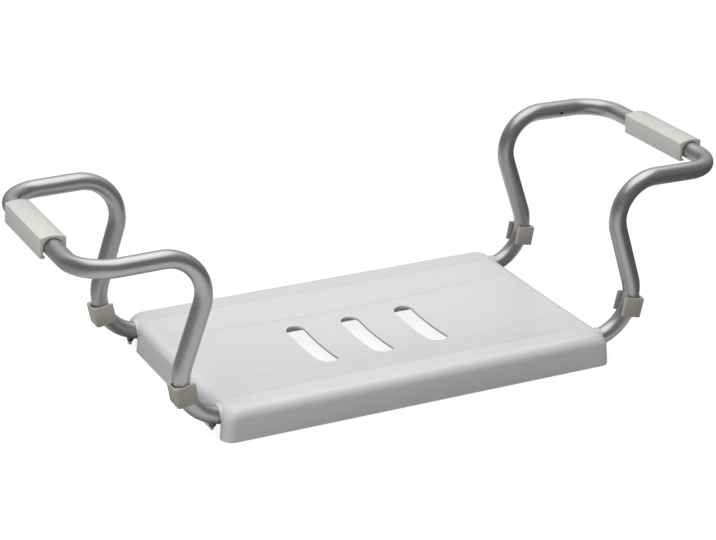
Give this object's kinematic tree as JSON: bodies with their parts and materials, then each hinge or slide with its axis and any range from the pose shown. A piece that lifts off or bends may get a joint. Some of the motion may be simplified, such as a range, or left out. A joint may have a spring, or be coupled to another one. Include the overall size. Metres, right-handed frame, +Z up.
{
  "type": "bath seat",
  "caption": "Moulded dished bath seat with drain slots, hung between two bent tube hoops that slide in and out and rest on the bath's rims through clip-on grips.",
  "frame": {"origin": "centre of the seat board on the plane of its skirt's lower edge, which it rests on", "axes": "+X along the long side from the left hoop to the right hoop, +Y to the rear, +Z up"},
  "size_m": [0.7053, 0.262, 0.1977],
  "materials": {
    "board_plastic": "glossy white moulded plastic",
    "tube_aluminium": "satin anodised",
    "grip_plastic": "off-white soft plastic",
    "clip_plastic": "warm grey soft plastic",
    "knob_plastic": "light grey moulded plastic",
    "plug_plastic": "dark grey moulded plastic",
    "button_steel": "polished steel",
    "spring_steel": "spring strip",
    "strap_steel": "stainless strip",
    "screw_steel": "stainless",
    "insert_brass": "turned"
  },
  "bodies": {
    "seat": {"seat_shell": "board_plastic", "left_front_clamp_strap": "strap_steel", "left_front_guide_strap": "strap_steel", "left_front_clamp_screw": "screw_steel", "left_front_guide_outer_screw": "screw_steel", "left_front_guide_inner_screw": "screw_steel", "left_front_clamp_insert": "insert_brass", "left_rear_clamp_strap": "strap_steel", "left_rear_guide_strap": "strap_steel", "left_rear_clamp_screw": "screw_steel", "left_rear_guide_outer_screw": "screw_steel", "left_rear_guide_inner_screw": "screw_steel", "left_rear_clamp_insert": "insert_brass", "right_front_clamp_strap": "strap_steel", "right_front_guide_strap": "strap_steel", "right_front_clamp_screw": "screw_steel", "right_front_guide_outer_screw": "screw_steel", "right_front_guide_inner_screw": "screw_steel", "right_front_clamp_insert": "insert_brass", "right_rear_clamp_strap": "strap_steel", "right_rear_guide_strap": "strap_steel", "right_rear_clamp_screw": "screw_steel", "right_rear_guide_outer_screw": "screw_steel", "right_rear_guide_inner_screw": "screw_steel", "right_rear_clamp_insert": "insert_brass"},
    "left_hoop": {"left_hoop_tube": "tube_aluminium", "left_front_bumper_clip": "clip_plastic", "left_front_leg_end_plug": "plug_plastic", "left_front_button_spring": "spring_steel", "left_rear_bumper_clip": "clip_plastic", "left_rear_leg_end_plug": "plug_plastic", "left_rear_button_spring": "spring_steel"},
    "left_grip": {"left_bath_grip": "grip_plastic"},
    "right_hoop": {"right_hoop_tube": "tube_aluminium", "right_front_bumper_clip": "clip_plastic", "right_front_leg_end_plug": "plug_plastic", "right_front_button_spring": "spring_steel", "right_rear_bumper_clip": "clip_plastic", "right_rear_leg_end_plug": "plug_plastic", "right_rear_button_spring": "spring_steel"},
    "right_grip": {"right_bath_grip": "grip_plastic"},
    "left_front_button": {"left_front_snap_button": "button_steel"},
    "left_front_knob": {"left_front_clamp_knob": "knob_plastic", "left_front_clamp_stud": "screw_steel"},
    "left_rear_button": {"left_rear_snap_button": "button_steel"},
    "left_rear_knob": {"left_rear_clamp_knob": "knob_plastic", "left_rear_clamp_stud": "screw_steel"},
    "right_front_button": {"right_front_snap_button": "button_steel"},
    "right_front_knob": {"right_front_clamp_knob": "knob_plastic", "right_front_clamp_stud": "screw_steel"},
    "right_rear_button": {"right_rear_snap_button": "button_steel"},
    "right_rear_knob": {"right_rear_clamp_knob": "knob_plastic", "right_rear_clamp_stud": "screw_steel"}
  },
  "joints": [
    {"name": "left_hoop_slide", "type": "slide", "parent": "seat", "child": "left_hoop", "axis": [-1, 0, 0], "range_m": [0, 0.04]},
    {"name": "right_hoop_slide", "type": "slide", "parent": "seat", "child": "right_hoop", "axis": [1, 0, 0], "range_m": [0, 0.04]},
    {"name": "left_grip_slide", "type": "slide", "parent": "left_hoop", "child": "left_grip", "axis": [0, 1, 0], "range_m": [-0.031, 0.012]},
    {"name": "right_grip_slide", "type": "slide", "parent": "right_hoop", "child": "right_grip", "axis": [0, 1, 0], "range_m": [-0.013, 0.03]},
    {"name": "left_front_button_press", "type": "slide", "parent": "left_hoop", "child": "left_front_button", "axis": [0.2574, -0.0253, 0.966], "range_m": [0, 0.0042], "stiffness_N_per_m": 800, "springref_m": -0.002, "deforming": ["left_front_button_spring"]},
    {"name": "left_rear_button_press", "type": "slide", "parent": "left_hoop", "child": "left_rear_button", "axis": [0.2574, 0.0253, 0.966], "range_m": [0, 0.0042], "stiffness_N_per_m": 800, "springref_m": -0.002, "deforming": ["left_rear_button_spring"]},
    {"name": "right_front_button_press", "type": "slide", "parent": "right_hoop", "child": "right_front_button", "axis": [-0.2574, -0.0253, 0.966], "range_m": [0, 0.0042], "stiffness_N_per_m": 800, "springref_m": -0.002, "deforming": ["right_front_button_spring"]},
    {"name": "right_rear_button_press", "type": "slide", "parent": "right_hoop", "child": "right_rear_button", "axis": [-0.2574, 0.0253, 0.966], "range_m": [0, 0.0042], "stiffness_N_per_m": 800, "springref_m": -0.002, "deforming": ["right_rear_button_spring"]},
    {"name": "left_front_knob_turn", "type": "hinge", "parent": "seat", "child": "left_front_knob", "pos_m": [-0.15, -0.084, 0.0042], "axis": [0, 0, -1], "range_deg": [0, 360]},
    {"name": "left_rear_knob_turn", "type": "hinge", "parent": "seat", "child": "left_rear_knob", "pos_m": [-0.15, 0.084, 0.0042], "axis": [0, 0, -1], "range_deg": [0, 360]},
    {"name": "right_front_knob_turn", "type": "hinge", "parent": "seat", "child": "right_front_knob", "pos_m": [0.15, -0.084, 0.0042], "axis": [0, 0, -1], "range_deg": [0, 360]},
    {"name": "right_rear_knob_turn", "type": "hinge", "parent": "seat", "child": "right_rear_knob", "pos_m": [0.15, 0.084, 0.0042], "axis": [0, 0, -1], "range_deg": [0, 360]}
  ]
}
